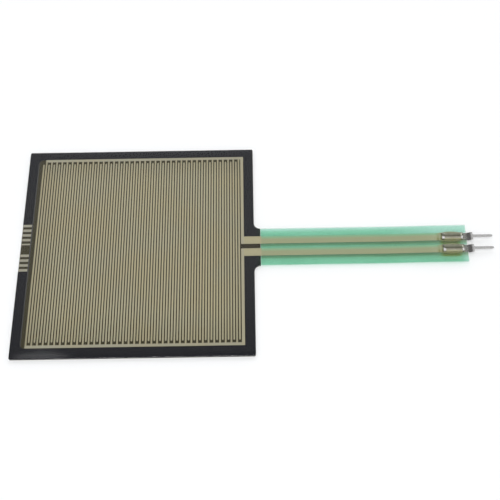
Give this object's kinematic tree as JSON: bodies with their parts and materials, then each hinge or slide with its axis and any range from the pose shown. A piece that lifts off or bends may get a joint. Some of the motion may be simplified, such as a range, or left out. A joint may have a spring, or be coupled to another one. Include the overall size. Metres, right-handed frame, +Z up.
{
  "type": "force sensing resistor",
  "caption": "Square film force sensor with interdigitated silver electrodes over a black pressure sensitive layer, a flat green tail and crimped solder tabs.",
  "frame": {"origin": "centre of the sensing square on its resting face, the underside of the release liner", "axes": "+X along the tail towards the pins, +Y across to the left solder tab, +Z up from the resting face to the clear electrode film"},
  "size_m": [0.0882, 0.0436, 0.0011],
  "materials": {
    "liner_paper": "smooth coated release paper",
    "rear_glue": "clear acrylic transfer adhesive",
    "base_polyester": "polyester film, printed black",
    "carbon_ink": "matt black screen print",
    "spacer_glue": "adhesive film, black against the print",
    "silver_ink": "matt silver polymer print",
    "green_overprint": "translucent green insulating print",
    "clear_polyester": "clear glossy polyester film",
    "tin_plate": "tin plated strip"
  },
  "bodies": {
    "root": {"release_liner": "liner_paper", "rear_adhesive": "rear_glue", "semiconductive_film": "base_polyester", "semiconductive_ink": "carbon_ink", "left_spacer": "spacer_glue", "right_spacer": "spacer_glue", "left_electrode_comb": "silver_ink", "right_electrode_comb": "silver_ink", "vent_bar_1": "silver_ink", "vent_bar_2": "silver_ink", "vent_bar_3": "silver_ink", "vent_bar_4": "silver_ink", "vent_bar_5": "silver_ink", "vent_bar_6": "silver_ink", "vent_bar_7": "silver_ink", "vent_bar_8": "silver_ink", "vent_bar_9": "silver_ink", "tail_overprint": "green_overprint", "electrode_film": "clear_polyester", "left_solder_tab": "tin_plate", "right_solder_tab": "tin_plate"}
  },
  "joints": []
}
